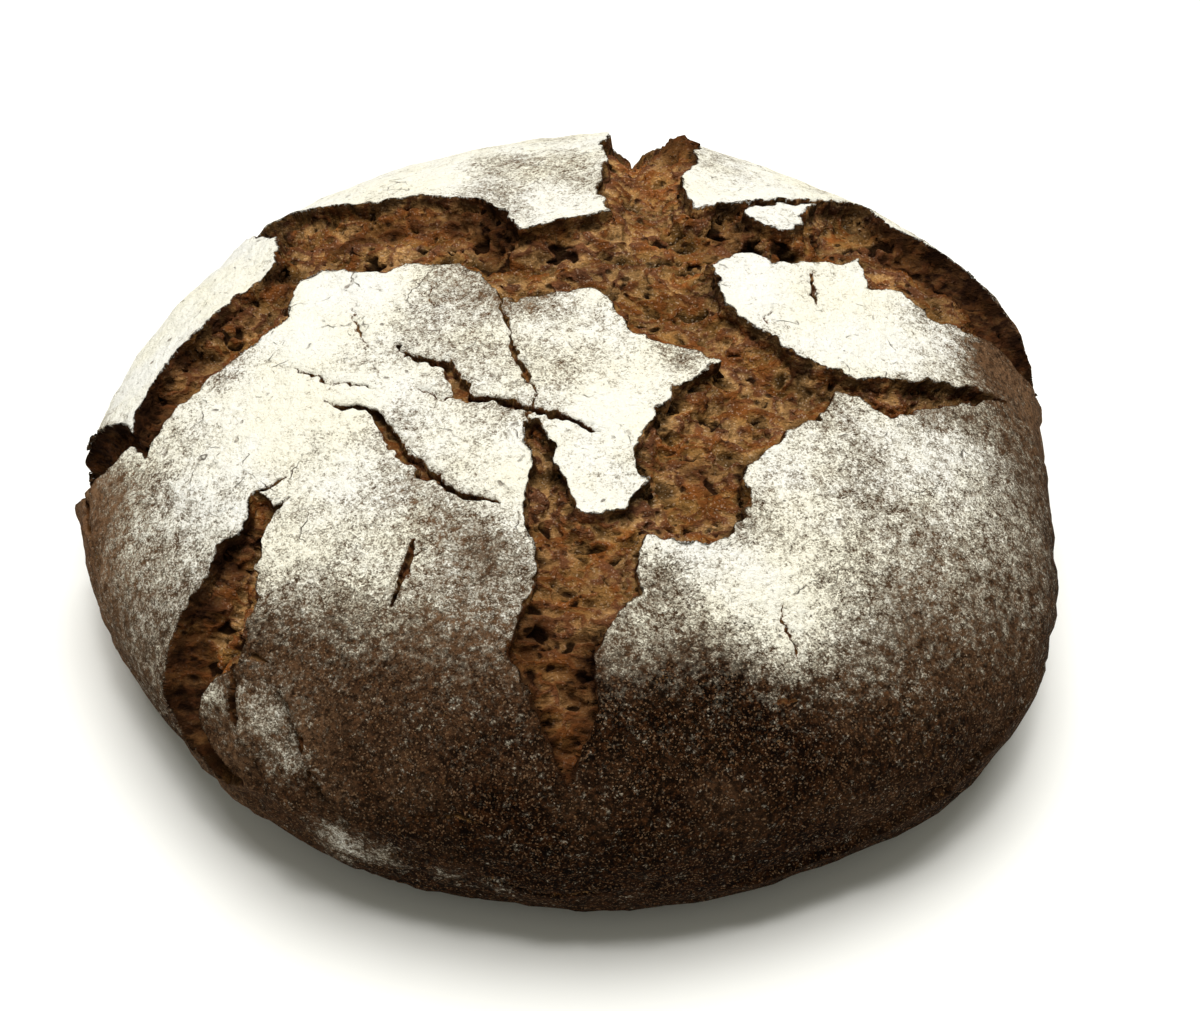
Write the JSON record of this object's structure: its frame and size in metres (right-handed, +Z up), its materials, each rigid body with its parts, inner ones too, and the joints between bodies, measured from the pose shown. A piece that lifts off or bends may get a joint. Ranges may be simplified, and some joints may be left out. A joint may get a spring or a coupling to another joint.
{
  "type": "rye bread loaf",
  "caption": "Round farmhouse rye loaf with a floured dark crust, torn open over the top to show brown crumb, on a flat baked base.",
  "frame": {"origin": "centre of the flat base, at the middle of the loaf's box", "axes": "+Z up through the crown, +Y to the back of the loaf, +X to its right"},
  "size_m": [0.2713, 0.2692, 0.0911],
  "materials": {
    "crust": "dark brown rye crust, dusted with pale flour over the top, dry and matt, with brown open crumb in the tears"
  },
  "bodies": {
    "root": {"loaf": "crust"}
  },
  "joints": []
}
